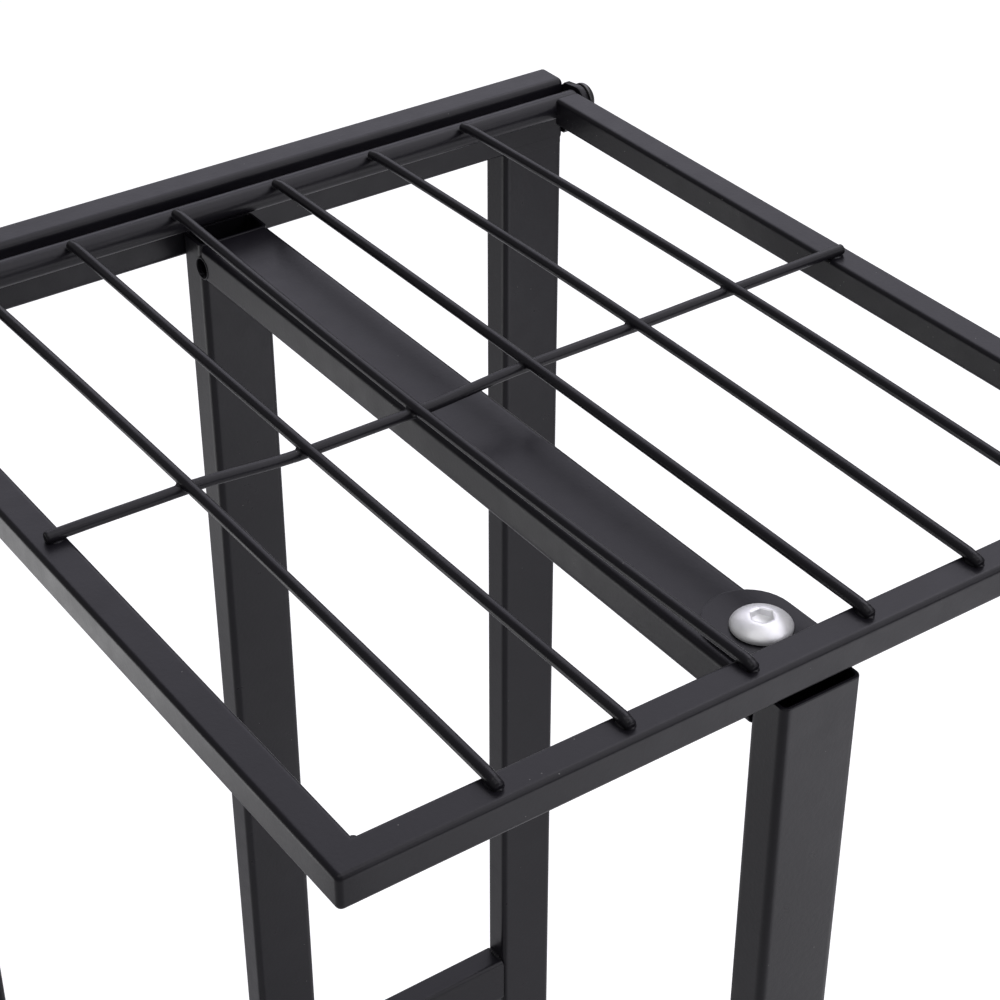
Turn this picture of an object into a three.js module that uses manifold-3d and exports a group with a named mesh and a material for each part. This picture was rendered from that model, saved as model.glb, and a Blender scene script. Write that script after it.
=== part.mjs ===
// Firewood log rack: a tall steel frame, T-shaped seen from above, with a hinged wire shelf on top.
// Millimetres. +X is the user's right, +Y is towards the wall behind the rack, +Z is up.
// The origin is on the floor, in the middle of the rack's footprint.

import * as THREE from 'three';
import * as BufferGeometryUtils from 'three/addons/utils/BufferGeometryUtils.js';
import Module from 'manifold-3d';

const wasm = await Module();
wasm.setup();

// ---- driving dimensions -------------------------------------------------------------------

const HEIGHT = 1000; // floor to the top of the rear rail
const WIDTH = 332; // outer width of the rear frame and of the shelf
const FRAME_DEPTH = 372.5; // back of the rear frame to the front of the front post
const GAP = 0.3; // clearance left between pieces that touch

// Flat frame tube
const TUBE_WIDE = 30;
const TUBE_DEEP = 15;
const TUBE_WALL = 1.5;
const TUBE_CORNER = 2.6;
const RAIL_TALL = 28; // the rear frame's rails stand on edge
const END_PLATE = 2; // closes each end of the rear top rail

// Centre frame
const CENTRE_X = -2.5; // the centre frame stands a little left of the middle
const CENTRE_DROP = 16.6; // its top lies this far below the rear rail's top
const VENT_HOLE_R = 4.2; // coating hole in the left walls, where the beam meets the rear post
const VENT_HOLE_DROP = 9.5;

// Shelf
const SHELF_TUBE = 12;
const SHELF_WALL = 1.2;
const SHELF_CORNER = 2;
const SHELF_DROP = 2; // shelf rails' top below the rear rail's top
const SHELF_FRONT = 1.5; // front rail's face behind the front post's face
const ROD_R = 5;
const ROD_FORWARD = 8; // hinge axis in front of the rear frame
const ROD_DROP = 7; // hinge axis below the rear rail's top
const WIRE_R = 2;
const LONG_WIRES = 6;
const WIRES_LEFT = 3; // the long wires sit this far left of the shelf's middle
const WIRE_FORWARD = 3; // their rear ends in front of the hinge axis
const CROSS_FORWARD = 4; // the cross wire in front of the shelf's middle
const CROSS_STEPS = 46;
const TAB_THICK = 2;
const TAB_INSET = 6; // its front edge behind the front rail's face
const TAB_REACH = 39; // from the front rail's back to the tab's round end
const LOCK_X = 1; // the tab and lock bolt stand close to the shelf's middle
const LOCK_BACK = 19; // lock bolt behind the front rail's back

// Base
const BASE_TOP = 90;
const BASE_TALL = 28;
const BASE_WIRE_R = 2.5;
const FOOT_TALL = 5;
const CAP_TALL = 2;
const PLUG_TALL = 12;
const MID_RAIL_TOP = 498;

// Fasteners
const LOCK_HEAD_R = 9.75;
const LOCK_HEAD_TALL = 5.2;
const LOCK_SHANK_R = 3.3;
const LOCK_HEX = 5.5; // across the flats of its socket
const LOCK_NUT_FLATS = 13;
const LOCK_NUT_TALL = 6.5;
const LOCK_NUT_R = 4;
const PIVOT_HEAD_R = 6.6;
const PIVOT_HEAD_TALL = 3.8;
const PIVOT_SHANK_R = 2.5;
const PIVOT_DEPTH = 16; // thread engaged in the rod
const LUG_THICK = 3;
const LUG_NOSE_R = 6.2;
const LUG_BACK_TALL = 12; // its height at the back of the rail's end
const LUG_NECK = 1; // how far its top falls from the nose to the rail's front face
const JOINT_HEAD_R = 5.4;
const JOINT_HEAD_TALL = 3;
const JOINT_SHANK_R = 2.9;
const JOINT_NUT_R = 4.4;
const JOINT_NUT_TALL = 6;

// ---- places worked out from them ----------------------------------------------------------

const HALF_W = WIDTH / 2;
const HALF_D = (FRAME_DEPTH + JOINT_HEAD_TALL) / 2;
const BACK_Y = HALF_D - JOINT_HEAD_TALL; // rear frame's back face
const REAR_Y = BACK_Y - TUBE_DEEP; // rear frame's front face
const FRONT_Y = -HALF_D; // front post's front face
const CENTRE_TOP = HEIGHT - CENTRE_DROP;
const POST_A_BACK = REAR_Y - GAP; // centre rear post
const POST_A_FRONT = POST_A_BACK - TUBE_DEEP;
const POST_C_BACK = FRONT_Y + TUBE_DEEP; // front post
const HINGE = { y: REAR_Y - ROD_FORWARD, z: HEIGHT - ROD_DROP };
const SHELF_TOP = HEIGHT - SHELF_DROP;
const SHELF_FRONT_Y = FRONT_Y + SHELF_FRONT;
const SHELF_BOTTOM = SHELF_TOP - SHELF_TUBE;
const LOCK_Y = SHELF_FRONT_Y + SHELF_TUBE + LOCK_BACK;
const BEAM_BOTTOM = CENTRE_TOP - TUBE_DEEP;
const BASE_BEAM_TOP = BASE_TOP - 2 * BASE_WIRE_R - GAP;
const INNER_X = HALF_W - SHELF_TUBE; // inner faces of the shelf's side rails
const CROSS_Y = (SHELF_FRONT_Y + SHELF_TUBE + HINGE.y) / 2 - CROSS_FORWARD;
const JOINT_HEIGHTS = {
  mid: MID_RAIL_TOP - RAIL_TALL / 2,
  bottom: BASE_TOP - BASE_TALL / 2,
};

// ---- materials ----------------------------------------------------------------------------

function finish(color, roughness, metalness) {
  return new THREE.MeshStandardMaterial({ color, roughness, metalness });
}

const powderCoat = finish(0x1b1b1e, 0.45, 0.2);
const zinc = finish(0xc9cbce, 0.25, 1.0);
const blackOxide = finish(0x141416, 0.35, 0.7);
const plastic = finish(0x151515, 0.6, 0.0);

// ---- shapes -------------------------------------------------------------------------------

// Rounded rectangle path centred on (0, 0).
function roundedRect(path, width, height, radius) {
  const x = width / 2;
  const y = height / 2;
  path.moveTo(x, -y + radius);
  path.lineTo(x, y - radius);
  path.absarc(x - radius, y - radius, radius, 0, Math.PI / 2, false);
  path.absarc(-x + radius, y - radius, radius, Math.PI / 2, Math.PI, false);
  path.absarc(-x + radius, -y + radius, radius, Math.PI, 1.5 * Math.PI, false);
  path.absarc(x - radius, -y + radius, radius, 1.5 * Math.PI, 2 * Math.PI, false);
  return path;
}

// Hollow tube of width by height, along +Z from 0 to length.
function tube(width, height, length, wall, corner) {
  const outline = roundedRect(new THREE.Shape(), width, height, corner);
  const bore = roundedRect(new THREE.Path(), width - 2 * wall, height - 2 * wall, corner - wall);
  outline.holes.push(bore);
  return new THREE.ExtrudeGeometry(outline, { depth: length, bevelEnabled: false, curveSegments: 3 });
}

// Solid of revolution about +Z from [radius, height] points.
function turned(points, segments = 24) {
  return new THREE.LatheGeometry(points.map(([r, z]) => new THREE.Vector2(r, z)), segments)
    .rotateX(Math.PI / 2);
}

// Round bar along +Z from 0 to length, with a small chamfer at both ends.
function bar(radius, length, segments = 12) {
  const chamfer = radius * 0.2;
  return turned([[0, 0], [radius - chamfer, 0], [radius, chamfer],
    [radius, length - chamfer], [radius - chamfer, length], [0, length]], segments);
}

// Flat plate: an outline extruded along +Z.
function plate(outline, thick, curveSegments = 10) {
  return new THREE.ExtrudeGeometry(outline, { depth: thick, bevelEnabled: false, curveSegments });
}

function hexagon(path, flats) {
  const radius = flats / Math.sqrt(3);
  for (let i = 0; i < 6; i += 1) {
    const angle = (i * Math.PI) / 3;
    const step = i === 0 ? 'moveTo' : 'lineTo';
    path[step](radius * Math.cos(angle), radius * Math.sin(angle));
  }
  path.closePath();
  return path;
}

// Nut along +Z from 0, with a round bore.
function nut(flats, tall, boreR) {
  const outline = hexagon(new THREE.Shape(), flats);
  outline.holes.push(new THREE.Path().absarc(0, 0, boreR, 0, 2 * Math.PI, true));
  return plate(outline, tall);
}

// Button-head bolt: head from z = 0 up, shank below, domed by an arc of points.
function buttonBolt(headR, headTall, shankR, shankLength, domeSteps = 6) {
  const rim = headTall * 0.28;
  const dome = [];
  for (let i = 0; i <= domeSteps; i += 1) {
    const turn = (i / domeSteps) * (Math.PI / 2);
    dome.push([headR * Math.cos(turn), rim + (headTall - rim) * Math.sin(turn)]);
  }
  dome[domeSteps][0] = 0;
  return turned([[0, -shankLength], [shankR * 0.85, -shankLength], [shankR, -shankLength + 1],
    [shankR, 0], [headR, 0], ...dome]);
}

// ---- joining and cutting ------------------------------------------------------------------

function solid(geometry) {
  const bare = geometry.clone();
  bare.deleteAttribute('normal');
  bare.deleteAttribute('uv');
  const merged = BufferGeometryUtils.mergeVertices(bare, 1e-4);
  return new wasm.Manifold(new wasm.Mesh({
    numProp: 3,
    vertProperties: new Float32Array(merged.attributes.position.array),
    triVerts: new Uint32Array(merged.index.array),
  }));
}

function geometryOf(body) {
  const mesh = body.getMesh();
  const geometry = new THREE.BufferGeometry();
  geometry.setAttribute('position', new THREE.BufferAttribute(mesh.vertProperties, 3));
  geometry.setIndex(new THREE.BufferAttribute(mesh.triVerts, 1));
  return geometry;
}

// Drills holes given as cutter geometries out of a blank.
function drilled(blank, cutters) {
  return geometryOf(cutters.reduce((body, cutter) => body.subtract(solid(cutter)), solid(blank)));
}

// Cylinder for drilling, from a point along +X, +Y or +Z.
function drill(radius, length, axis, x, y, z) {
  const cutter = new THREE.CylinderGeometry(radius, radius, length, 20);
  if (axis === 'X') cutter.rotateZ(Math.PI / 2);
  if (axis === 'Z') cutter.rotateX(Math.PI / 2);
  return cutter.translate(x, y, z);
}

// ---- rack ---------------------------------------------------------------------------------

const rack = new THREE.Group();
rack.name = 'firewood_log_rack';

function add(name, geometry, material = powderCoat) {
  const mesh = new THREE.Mesh(geometry, material);
  mesh.name = name;
  rack.add(mesh);
  return mesh;
}

// Upright flat tube, wide in X, from low to high; y is its middle.
function upright(x, y, low, high) {
  return tube(TUBE_WIDE, TUBE_DEEP, high - low, TUBE_WALL, TUBE_CORNER).translate(x, y, low);
}

// Tube along +X between two X values, tall in Z; y and z are its middle.
function crossTube(fromX, toX, deep, tall, y, z, wall = TUBE_WALL, corner = TUBE_CORNER) {
  return tube(tall, deep, toX - fromX, wall, corner).rotateY(Math.PI / 2).translate(fromX, y, z);
}

// Tube along +Y between two Y values, x and z are its middle.
function sideTube(fromY, toY, wide, tall, x, z, wall = TUBE_WALL, corner = TUBE_CORNER) {
  return tube(wide, tall, toY - fromY, wall, corner).rotateX(-Math.PI / 2).translate(x, fromY, z);
}

function rearFrame() {
  const y = REAR_Y + TUBE_DEEP / 2;
  const postX = HALF_W - TUBE_WIDE / 2;
  const railEnd = HALF_W - TUBE_WIDE - GAP;
  const hole = (z) => drill(JOINT_SHANK_R + GAP, TUBE_DEEP * 2, 'Y', CENTRE_X, y, z);
  add('rear_post_left', upright(-postX, y, FOOT_TALL + GAP, HEIGHT - RAIL_TALL - GAP));
  add('rear_post_right', upright(postX, y, FOOT_TALL + GAP, HEIGHT - RAIL_TALL - GAP));
  const topEnd = HALF_W - END_PLATE - GAP;
  const topMiddle = HEIGHT - RAIL_TALL / 2;
  add('rear_top_rail', crossTube(-topEnd, topEnd, TUBE_DEEP, RAIL_TALL, y, topMiddle));
  for (const [side, x] of Object.entries({ left: -HALF_W, right: HALF_W - END_PLATE })) {
    const face = roundedRect(new THREE.Shape(), RAIL_TALL, TUBE_DEEP, TUBE_CORNER);
    add(`rear_rail_end_${side}`, plate(face, END_PLATE, 3).rotateY(Math.PI / 2).translate(x, y, topMiddle));
  }
  const midRail = crossTube(-railEnd, railEnd, TUBE_DEEP, RAIL_TALL, y, JOINT_HEIGHTS.mid);
  add('rear_mid_rail', drilled(midRail, [hole(JOINT_HEIGHTS.mid)]));
  const lowRail = crossTube(-railEnd, railEnd, TUBE_DEEP, BASE_TALL, y, JOINT_HEIGHTS.bottom);
  add('rear_bottom_rail', drilled(lowRail, [hole(JOINT_HEIGHTS.bottom)]));
}

function centreFrame() {
  const postA = upright(CENTRE_X, (POST_A_BACK + POST_A_FRONT) / 2, FOOT_TALL + GAP, CENTRE_TOP);
  const ventHole = () => drill(VENT_HOLE_R, TUBE_WIDE / 2, 'X', CENTRE_X - TUBE_WIDE / 2,
    POST_A_FRONT, CENTRE_TOP - VENT_HOLE_DROP);
  const cuts = [ventHole()];
  for (const z of [JOINT_HEIGHTS.mid, JOINT_HEIGHTS.bottom]) {
    cuts.push(drill(JOINT_SHANK_R + GAP, TUBE_DEEP, 'Y', CENTRE_X, POST_A_BACK, z));
  }
  add('centre_rear_post', drilled(postA, cuts));
  add('front_post', upright(CENTRE_X, (FRONT_Y + POST_C_BACK) / 2, FOOT_TALL + GAP, CENTRE_TOP));
  const beamFrom = POST_C_BACK + GAP;
  const beamTo = POST_A_FRONT - GAP;
  const beam = sideTube(beamFrom, beamTo, TUBE_WIDE, TUBE_DEEP, CENTRE_X, CENTRE_TOP - TUBE_DEEP / 2);
  add('top_beam', drilled(beam, [
    ventHole(),
    drill(LOCK_SHANK_R + 2, TUBE_DEEP, 'Z', LOCK_X, LOCK_Y, CENTRE_TOP),
    drill(LOCK_SHANK_R + 1.2, TUBE_DEEP, 'Z', LOCK_X, LOCK_Y, BEAM_BOTTOM),
  ]));
  add('bottom_beam', sideTube(beamFrom, beamTo, TUBE_WIDE, TUBE_DEEP, CENTRE_X,
    BASE_BEAM_TOP - TUBE_DEEP / 2));
}

function base() {
  const z = BASE_TOP - BASE_TALL / 2;
  const frontY = (FRONT_Y + POST_C_BACK) / 2;
  const legX = HALF_W - TUBE_WIDE / 2;
  const sides = { left: -1, right: 1 };
  for (const [side, sign] of Object.entries(sides)) {
    add(`front_leg_${side}`, upright(sign * legX, frontY, FOOT_TALL + GAP, BASE_TOP - GAP));
    add(`base_side_${side}`, sideTube(POST_C_BACK + GAP, REAR_Y - GAP, TUBE_DEEP, BASE_TALL,
      sign * (HALF_W - TUBE_DEEP / 2), z));
  }
  const legInner = HALF_W - TUBE_WIDE - GAP;
  const postEdge = TUBE_WIDE / 2 + GAP;
  add('base_front_left', crossTube(-legInner, CENTRE_X - postEdge, TUBE_DEEP, BASE_TALL, frontY, z));
  add('base_front_right', crossTube(CENTRE_X + postEdge, legInner, TUBE_DEEP, BASE_TALL, frontY, z));
  const inner = HALF_W - TUBE_DEEP - GAP;
  const wireFrom = FRONT_Y + TUBE_DEEP * 0.3;
  const wireLength = BACK_Y - TUBE_DEEP * 0.3 - wireFrom;
  const bays = [[-inner, CENTRE_X - TUBE_WIDE / 2], [CENTRE_X + TUBE_WIDE / 2, inner]];
  const perBay = LONG_WIRES / bays.length;
  bays.forEach(([from, to], bay) => {
    for (let i = 1; i <= perBay; i += 1) {
      const wire = bar(BASE_WIRE_R, wireLength).rotateX(-Math.PI / 2);
      const x = from + (i * (to - from)) / (perBay + 1);
      add(`base_wire_${bay * perBay + i}`, wire.translate(x, wireFrom, BASE_TOP + GAP + BASE_WIRE_R));
    }
  });
  add('base_cross_wire', bar(BASE_WIRE_R, 2 * inner).rotateY(Math.PI / 2)
    .translate(-inner, (REAR_Y + POST_C_BACK) / 2, BASE_TOP - BASE_WIRE_R));
}

// Pad over a tube's open end with a plug that goes up into it, standing on z = 0.
function padAndPlug(padTall, plugTall) {
  const pad = roundedRect(new THREE.Shape(), TUBE_WIDE, TUBE_DEEP, TUBE_CORNER);
  const room = 2 * (TUBE_WALL + GAP);
  const plug = roundedRect(new THREE.Shape(), TUBE_WIDE - room, TUBE_DEEP - room, 0.9);
  const padSolid = solid(plate(pad, padTall, 3));
  const plugSolid = solid(plate(plug, plugTall + padTall / 2, 2).translate(0, 0, padTall / 2));
  return geometryOf(padSolid.add(plugSolid));
}

function feet() {
  const rearY = REAR_Y + TUBE_DEEP / 2;
  const frontY = (FRONT_Y + POST_C_BACK) / 2;
  const outerX = HALF_W - TUBE_WIDE / 2;
  const places = {
    foot_rear_left: [-outerX, rearY],
    foot_rear_right: [outerX, rearY],
    foot_centre: [CENTRE_X, (POST_A_BACK + POST_A_FRONT) / 2],
    foot_front: [CENTRE_X, frontY],
    foot_front_left: [-outerX, frontY],
    foot_front_right: [outerX, frontY],
  };
  for (const [name, [x, y]] of Object.entries(places)) {
    add(name, padAndPlug(FOOT_TALL, PLUG_TALL).translate(x, y, 0), plastic);
  }
}

function legCaps() {
  const frontY = (FRONT_Y + POST_C_BACK) / 2;
  const x = HALF_W - TUBE_WIDE / 2;
  for (const [side, sign] of Object.entries({ left: -1, right: 1 })) {
    const cap = padAndPlug(CAP_TALL, PLUG_TALL).rotateX(Math.PI);
    add(`leg_cap_${side}`, cap.translate(sign * x, frontY, BASE_TOP + CAP_TALL), plastic);
  }
}

// Lug: lies on the end of the rear rail and carries the hinge bolt on its round nose.
function lugOutline() {
  const back = REAR_Y + TUBE_DEEP - 2;
  const low = HEIGHT - RAIL_TALL + 3;
  const outline = new THREE.Shape();
  outline.moveTo(back, low);
  outline.lineTo(back, low + LUG_BACK_TALL);
  outline.lineTo(REAR_Y, HINGE.z + LUG_NOSE_R - LUG_NECK);
  outline.lineTo(HINGE.y, HINGE.z + LUG_NOSE_R);
  outline.absarc(HINGE.y, HINGE.z, LUG_NOSE_R, Math.PI / 2, 1.25 * Math.PI, false);
  outline.lineTo(REAR_Y, low);
  outline.closePath();
  outline.holes.push(new THREE.Path().absarc(HINGE.y, HINGE.z, PIVOT_SHANK_R + GAP, 0, 2 * Math.PI, true));
  return outline;
}

function lugs() {
  const sides = { left: -HALF_W - GAP - LUG_THICK, right: HALF_W + GAP };
  for (const [side, x] of Object.entries(sides)) {
    const lug = plate(lugOutline(), LUG_THICK).applyMatrix4(new THREE.Matrix4().makeBasis(
      new THREE.Vector3(0, 1, 0), new THREE.Vector3(0, 0, 1), new THREE.Vector3(1, 0, 0)));
    add(`hinge_lug_${side}`, lug.translate(x, 0, 0));
  }
}

// Bolts that hold the centre frame to the rear frame, with nuts inside the centre rear post.
function joiningBolts() {
  const nutY = POST_A_BACK - TUBE_WALL - GAP;
  const length = BACK_Y - nutY + JOINT_NUT_TALL;
  for (const level of ['mid', 'bottom']) {
    const z = JOINT_HEIGHTS[level];
    const bolt = buttonBolt(JOINT_HEAD_R, JOINT_HEAD_TALL - GAP, JOINT_SHANK_R - GAP, length);
    add(`joint_bolt_${level}`, bolt.rotateX(-Math.PI / 2).translate(CENTRE_X, BACK_Y + GAP, z),
      blackOxide);
    const boltNut = nut(2 * JOINT_NUT_R, JOINT_NUT_TALL, JOINT_SHANK_R).rotateX(Math.PI / 2);
    add(`joint_nut_${level}`, boltNut.translate(CENTRE_X, nutY, z), zinc);
  }
}

function lockNut() {
  add('lock_nut', nut(LOCK_NUT_FLATS, LOCK_NUT_TALL, LOCK_NUT_R)
    .translate(LOCK_X, LOCK_Y, BEAM_BOTTOM - GAP - LOCK_NUT_TALL), zinc);
}

// ---- shelf --------------------------------------------------------------------------------

// Square shelf tube from 0 to length along +Z, its ends mitred towards +X by start and end.
function mitredTube(length, start, end) {
  const geometry = tube(SHELF_TUBE, SHELF_TUBE, length, SHELF_WALL, SHELF_CORNER);
  const places = geometry.attributes.position;
  for (let i = 0; i < places.count; i += 1) {
    const across = places.getX(i) + SHELF_TUBE / 2;
    const atEnd = places.getZ(i) > length / 2;
    places.setZ(i, places.getZ(i) + (atEnd ? -end : start) * across);
  }
  return geometry;
}

function shelfRails() {
  const z = SHELF_TOP - SHELF_TUBE / 2;
  const backY = HINGE.y - ROD_R - GAP;
  const sideLength = backY - SHELF_FRONT_Y - GAP;
  const toRear = new THREE.Matrix4().makeBasis(new THREE.Vector3(-1, 0, 0),
    new THREE.Vector3(0, 0, 1), new THREE.Vector3(0, 1, 0));
  const rightRail = mitredTube(sideLength, 1, 0).applyMatrix4(toRear);
  add('shelf_right_rail', rightRail.translate(HALF_W - SHELF_TUBE / 2, SHELF_FRONT_Y + GAP, z));
  const leftward = new THREE.Matrix4().makeBasis(new THREE.Vector3(1, 0, 0),
    new THREE.Vector3(0, 0, 1), new THREE.Vector3(0, -1, 0));
  const leftRail = mitredTube(sideLength, 0, 1).applyMatrix4(leftward);
  add('shelf_left_rail', leftRail.translate(-HALF_W + SHELF_TUBE / 2, backY, z));
  const alongX = new THREE.Matrix4().makeBasis(new THREE.Vector3(0, 1, 0),
    new THREE.Vector3(0, 0, 1), new THREE.Vector3(1, 0, 0));
  const frontRail = mitredTube(WIDTH - 2 * GAP, 1, 1).applyMatrix4(alongX);
  add('shelf_front_rail', frontRail.translate(-HALF_W + GAP, SHELF_FRONT_Y + SHELF_TUBE / 2, z));
}

// Rod with a tapped bore in each end.
function hingeRod() {
  const length = WIDTH - 2 * GAP;
  const boreR = PIVOT_SHANK_R + GAP;
  const depth = PIVOT_DEPTH + 1;
  const rod = turned([[0, depth], [boreR, depth], [boreR, 0], [ROD_R - 0.6, 0], [ROD_R, 0.6],
    [ROD_R, length - 0.6], [ROD_R - 0.6, length], [boreR, length], [boreR, length - depth],
    [0, length - depth]], 28);
  add('hinge_rod', rod.rotateY(Math.PI / 2).translate(-HALF_W + GAP, HINGE.y, HINGE.z));
}

function shelfWires() {
  const pitch = (2 * INNER_X) / (LONG_WIRES + 1);
  const fromY = SHELF_FRONT_Y + 4;
  const toY = HINGE.y - WIRE_FORWARD;
  for (let i = 1; i <= LONG_WIRES; i += 1) {
    const wire = bar(WIRE_R, toY - fromY).rotateX(-Math.PI / 2);
    add(`shelf_wire_${i}`, wire.translate(-INNER_X - WIRES_LEFT + i * pitch, fromY,
      SHELF_TOP + GAP + WIRE_R));
  }
}

// The cross wire runs under the long wires and rises at its ends onto the side rails.
function crossWire() {
  const low = SHELF_TOP - WIRE_R;
  const high = SHELF_TOP + GAP + WIRE_R;
  const endX = HALF_W - SHELF_TUBE * 0.4;
  const restX = INNER_X - 1.5;
  const bendX = INNER_X - 14;
  const halfPath = [[endX, high], [restX, high], [(restX + bendX) / 2, (low + high) / 2], [bendX, low]];
  const points = [...halfPath, ...halfPath.map(([x, z]) => [-x, z]).reverse()];
  const path = new THREE.CurvePath();
  for (let i = 1; i < points.length; i += 1) {
    const [from, to] = [points[i - 1], points[i]];
    path.add(new THREE.LineCurve3(new THREE.Vector3(from[0], CROSS_Y, from[1]),
      new THREE.Vector3(to[0], CROSS_Y, to[1])));
  }
  const section = new THREE.Shape().absarc(0, 0, WIRE_R, 0, 2 * Math.PI, false);
  add('shelf_cross_wire', new THREE.ExtrudeGeometry(section,
    { steps: CROSS_STEPS, extrudePath: path, curveSegments: 4, bevelEnabled: false }));
}

// Tab under the front rail, with a round end and the lock bolt's hole.
function shelfTab() {
  const half = TUBE_WIDE / 2;
  const backY = SHELF_FRONT_Y + SHELF_TUBE + TAB_REACH;
  const outline = new THREE.Shape();
  outline.moveTo(-half, SHELF_FRONT_Y + TAB_INSET);
  outline.lineTo(half, SHELF_FRONT_Y + TAB_INSET);
  outline.lineTo(half, backY - half);
  outline.absarc(0, backY - half, half, 0, Math.PI, false);
  outline.closePath();
  outline.holes.push(new THREE.Path().absarc(0, LOCK_Y, LOCK_SHANK_R + 0.9, 0, 2 * Math.PI, true));
  add('shelf_tab', plate(outline, TAB_THICK).translate(LOCK_X, 0, SHELF_BOTTOM - GAP - TAB_THICK));
}

function lockBolt() {
  const seat = SHELF_BOTTOM;
  const length = seat - (BEAM_BOTTOM - GAP - LOCK_NUT_TALL * 0.8);
  const blank = buttonBolt(LOCK_HEAD_R, LOCK_HEAD_TALL, LOCK_SHANK_R, length, 8);
  const socket = plate(hexagon(new THREE.Shape(), LOCK_HEX), LOCK_HEAD_TALL)
    .translate(0, 0, LOCK_HEAD_TALL * 0.45);
  add('lock_bolt', drilled(blank, [socket]).translate(LOCK_X, LOCK_Y, seat), zinc);
}

function hingeBolts() {
  const seat = HALF_W + GAP + LUG_THICK + GAP;
  const length = LUG_THICK + 2 * GAP + PIVOT_DEPTH;
  for (const [side, sign] of Object.entries({ left: -1, right: 1 })) {
    const bolt = buttonBolt(PIVOT_HEAD_R, PIVOT_HEAD_TALL, PIVOT_SHANK_R, length);
    add(`hinge_bolt_${side}`, bolt.rotateY((sign * Math.PI) / 2)
      .translate(sign * seat, HINGE.y, HINGE.z), blackOxide);
  }
}

rearFrame();
centreFrame();
base();
feet();
legCaps();
lugs();
joiningBolts();
lockNut();
shelfRails();
hingeRod();
shelfWires();
crossWire();
shelfTab();
lockBolt();
hingeBolts();

export default rack;
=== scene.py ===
"""Looks of the firewood log rack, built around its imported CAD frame. Metres, +Z up.

Almost every visible part is a detailed mesh that stands for its CAD node: tubes with rounded
corners and softened ends, wires with their weld nuggets, bolts with sockets and threads, the nut
under the beam, lugs and feet. Only the two nuts hidden in the centre post are plain CAD.
"""

import math

import bmesh
import bpy
from mathutils import Matrix, Vector, noise

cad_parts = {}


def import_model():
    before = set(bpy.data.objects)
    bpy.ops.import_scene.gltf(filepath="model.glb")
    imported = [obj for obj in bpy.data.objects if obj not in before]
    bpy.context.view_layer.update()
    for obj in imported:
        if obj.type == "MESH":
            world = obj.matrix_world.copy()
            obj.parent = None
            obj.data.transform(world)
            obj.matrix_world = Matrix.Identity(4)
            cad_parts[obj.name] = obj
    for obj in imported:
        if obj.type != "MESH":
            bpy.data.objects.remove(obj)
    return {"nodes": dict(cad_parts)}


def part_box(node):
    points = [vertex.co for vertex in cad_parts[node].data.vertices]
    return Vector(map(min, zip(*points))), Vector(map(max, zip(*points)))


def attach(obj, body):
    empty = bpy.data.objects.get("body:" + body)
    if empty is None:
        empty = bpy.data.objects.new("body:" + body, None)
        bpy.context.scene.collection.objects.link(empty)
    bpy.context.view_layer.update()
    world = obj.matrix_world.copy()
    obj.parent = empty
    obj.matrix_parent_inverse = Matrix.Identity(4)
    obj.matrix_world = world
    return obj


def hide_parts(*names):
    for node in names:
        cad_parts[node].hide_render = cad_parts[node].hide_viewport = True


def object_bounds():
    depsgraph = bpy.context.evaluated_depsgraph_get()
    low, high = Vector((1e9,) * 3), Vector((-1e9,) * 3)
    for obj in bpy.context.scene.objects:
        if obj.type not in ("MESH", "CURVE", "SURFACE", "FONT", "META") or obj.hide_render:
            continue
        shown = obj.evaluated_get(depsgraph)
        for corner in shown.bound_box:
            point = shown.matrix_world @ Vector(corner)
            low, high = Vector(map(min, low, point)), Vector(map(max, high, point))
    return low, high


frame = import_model()
CAD_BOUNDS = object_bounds()

MM = 0.001

# ---- driving values, in millimetres unless said otherwise ---------------------------------------

LENS = 85.0
SENSOR = 36.0
CAMERA_PITCH = 34.295  # degrees below the horizon
CAMERA_YAW = 34.991  # degrees to the right of straight ahead
EYE_FROM_RAIL = (-384.0, -739.2, 413.5)  # from the middle of the rear top rail's front top edge

SHARP = math.radians(32)  # faces that meet at more than this keep a hard edge
MERGE = 0.002  # points closer than this become one
CORNER_STEPS = 7
SUPPORT = 0.5  # extra points this far along each flat keep its shading flat
ROUND = 48  # points round a turned part

FRAME_WALL = 1.5
FRAME_CORNER = 2.6
SHELF_CORNER = 1.7
SHELF_NOSE = 1.9  # radius on the outer upright corner edges of the shelf
SHELF_INTO_ROD = 1.6  # how far the shelf's side rails run into the hinge rod
SHELF_FILLET_R = 1.3
SHELF_FILLET_IN = 0.35  # from a sharp inner corner of the shelf to its fillet's middle
END_SOFTNESS = 0.35  # radius on a cut tube end
GROUND_END = 1.6  # radius on a welded and ground tube end
SEAM = 0.3  # clearance that the CAD leaves at a welded joint
GROOVE_PROUD = 0.02
GROOVE_INSET = 1.2
GROOVE_REACH = (1.0, FRAME_CORNER + 0.2)  # below and above the top rail's underside
VENT_HOLE_R = 4.2
VENT_HOLE_DROP = 9.5
VENT_RIM_R = 0.38

LUG_BACK_TALL = 12
LUG_NECK = 1  # how far the lug's top edge has dropped where it meets the rail
LUG_NOSE_END = 1.25 * math.pi  # where the lug's round nose ends
LUG_HOLE_R = 2.9
TAB_HOLE_R = 4.2
LOCK_HEAD_TALL = 5.2  # of the plain CAD head over its seat
LOCK_HEAD_LOW = 4.2  # of the real dome, which is flatter
LOCK_CROWN = 1.45
LOCK_BOLT_HEX = 6.4
LOCK_SHANK_R = 3.3
LOCK_PITCH = 1.25
NUT_BORE_R = 3.9
HINGE_HEAD_TALL = 3.8
HINGE_BOLT_HEX = 3.6
HINGE_SHANK_R = 2.5
JOINT_HEAD_TALL = 2.7
JOINT_BOLT_HEX = 3.2
JOINT_SHANK_R = 2.6
FOOT_PAD = 5.0
CAP_PAD = 2.0
PAD_SOFTNESS = 0.7
PLUG_CORNER = 2.4

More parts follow.
